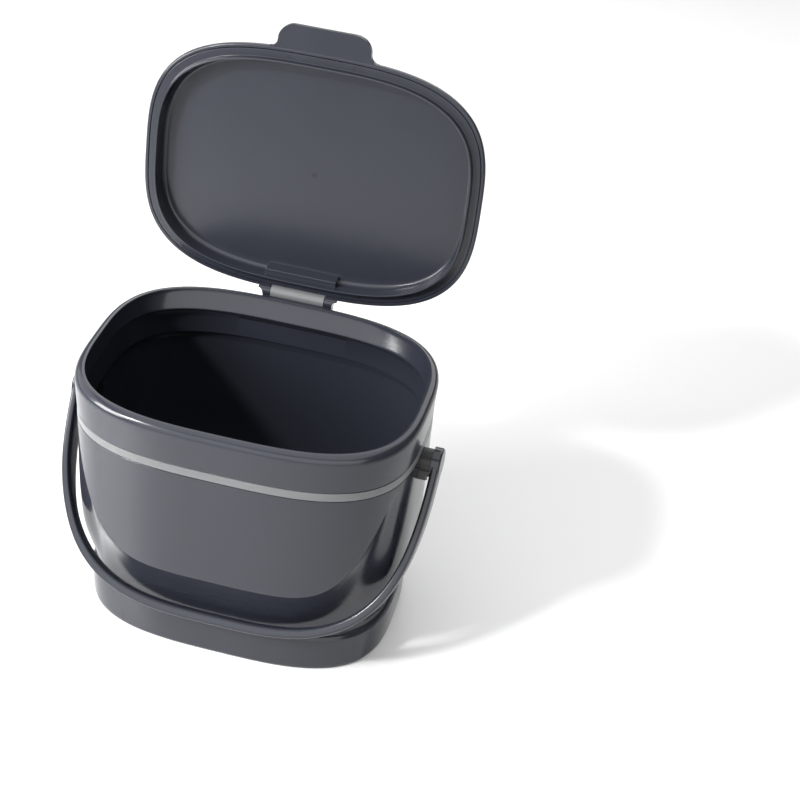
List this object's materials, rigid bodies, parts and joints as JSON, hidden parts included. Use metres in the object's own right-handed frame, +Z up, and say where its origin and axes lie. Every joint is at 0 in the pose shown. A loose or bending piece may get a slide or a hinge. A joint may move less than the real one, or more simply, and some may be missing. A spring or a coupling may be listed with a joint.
{
  "type": "compost caddy",
  "caption": "Countertop compost caddy: rounded tub with a light accent band, lift-off collar, hinged lid with lift tab and a swinging bail handle.",
  "frame": {"origin": "middle of the underside of the bin, on the surface it stands on", "axes": "+Z up, -Y towards the front where the lift tab and the resting handle are, +X to the right seen from the front"},
  "size_m": [0.212, 0.1747, 0.3125],
  "materials": {
    "dark_grey_plastic": "smooth, satin to glossy, cool dark grey",
    "light_grey_plastic": "smooth satin light grey",
    "black_plastic": "plain black",
    "pin_steel": "drawn steel pin"
  },
  "bodies": {
    "bin": {"bin_body": "dark_grey_plastic", "accent_band": "light_grey_plastic", "pivot_block_left": "black_plastic", "pivot_block_right": "black_plastic", "pivot_pin_left": "black_plastic", "pivot_pin_right": "black_plastic"},
    "collar_set": {"collar": "dark_grey_plastic", "hinge_barrel": "light_grey_plastic", "hinge_pin": "pin_steel"},
    "lid": {"lid_cover": "dark_grey_plastic", "lid_liner": "dark_grey_plastic"},
    "handle": {"bail_handle": "dark_grey_plastic"}
  },
  "joints": [
    {"name": "collar_lift", "type": "slide", "parent": "bin", "child": "collar_set", "axis": [0, 0, 1], "range_m": [0, 0.0065]},
    {"name": "lid_hinge", "type": "hinge", "parent": "collar_set", "child": "lid", "pos_m": [0, 0.07214, 0.15855], "axis": [1, 0, 0], "range_deg": [0, 99.07]},
    {"name": "handle_pivot", "type": "hinge", "parent": "bin", "child": "handle", "pos_m": [0, -0.0015, 0.1198], "axis": [-1, 0, 0], "range_deg": [0, 143.95]}
  ]
}
